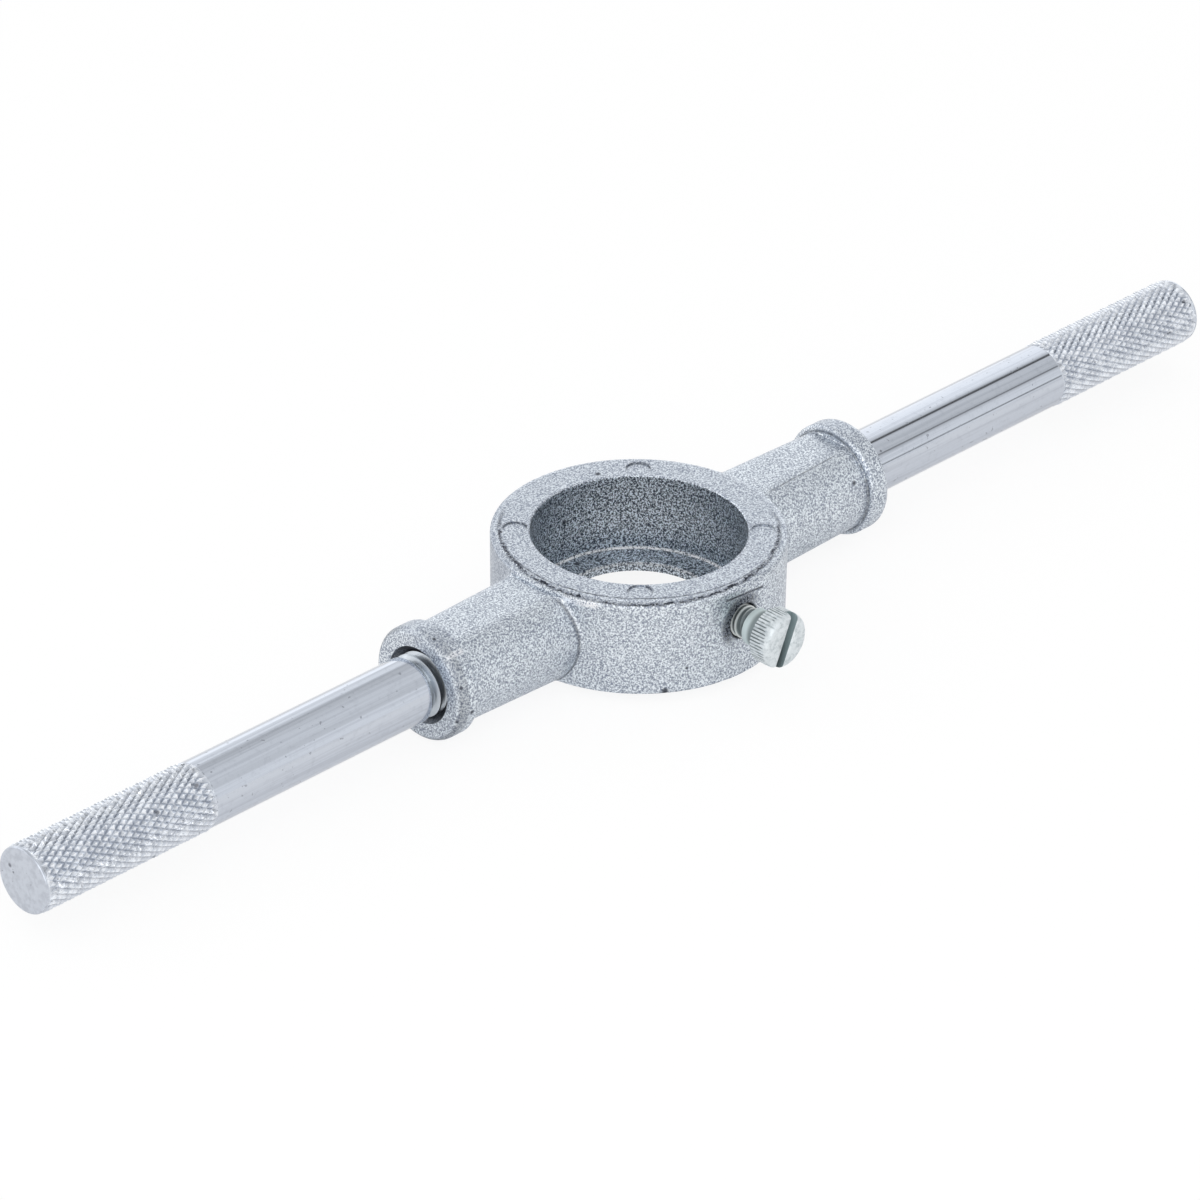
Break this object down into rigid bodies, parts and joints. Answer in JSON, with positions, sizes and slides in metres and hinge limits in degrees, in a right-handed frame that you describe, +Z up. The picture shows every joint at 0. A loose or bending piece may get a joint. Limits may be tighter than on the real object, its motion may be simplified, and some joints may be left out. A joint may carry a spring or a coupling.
{
  "type": "die stock handle",
  "caption": "Die stock: a cast ring with a pocket for a round threading die, a knurled clamp screw and knurled rod handles screwed into its sleeves.",
  "frame": {"origin": "where the handle axis crosses the axis of the die pocket", "axes": "+X along the right handle, +Z up out of the mouth of the die pocket, -Y out along the clamp screw"},
  "size_m": [0.285, 0.0618, 0.021],
  "materials": {
    "zinc_casting": "fine-grained silver grey zinc die casting, matt",
    "plated_steel": "bright chrome-plated steel, ground and lightly streaked",
    "zinc_plated_steel": "bright zinc-plated steel with a faint green cast"
  },
  "bodies": {
    "stock": {"stock_body": "zinc_casting"},
    "left_handle": {"left_handle": "plated_steel"},
    "right_handle": {"right_handle": "plated_steel"},
    "clamp_screw": {"clamp_screw": "zinc_plated_steel"}
  },
  "joints": [
    {"name": "left_handle_unscrew", "type": "slide", "parent": "stock", "child": "left_handle", "axis": [-1, 0, 0], "range_m": [-0.0028, 0.015]},
    {"name": "right_handle_unscrew", "type": "slide", "parent": "stock", "child": "right_handle", "axis": [1, 0, 0], "range_m": [-0.0028, 0.015]},
    {"name": "clamp_screw_advance", "type": "slide", "parent": "stock", "child": "clamp_screw", "axis": [0, -1, 0], "range_m": [-0.0022, 0.004]}
  ]
}
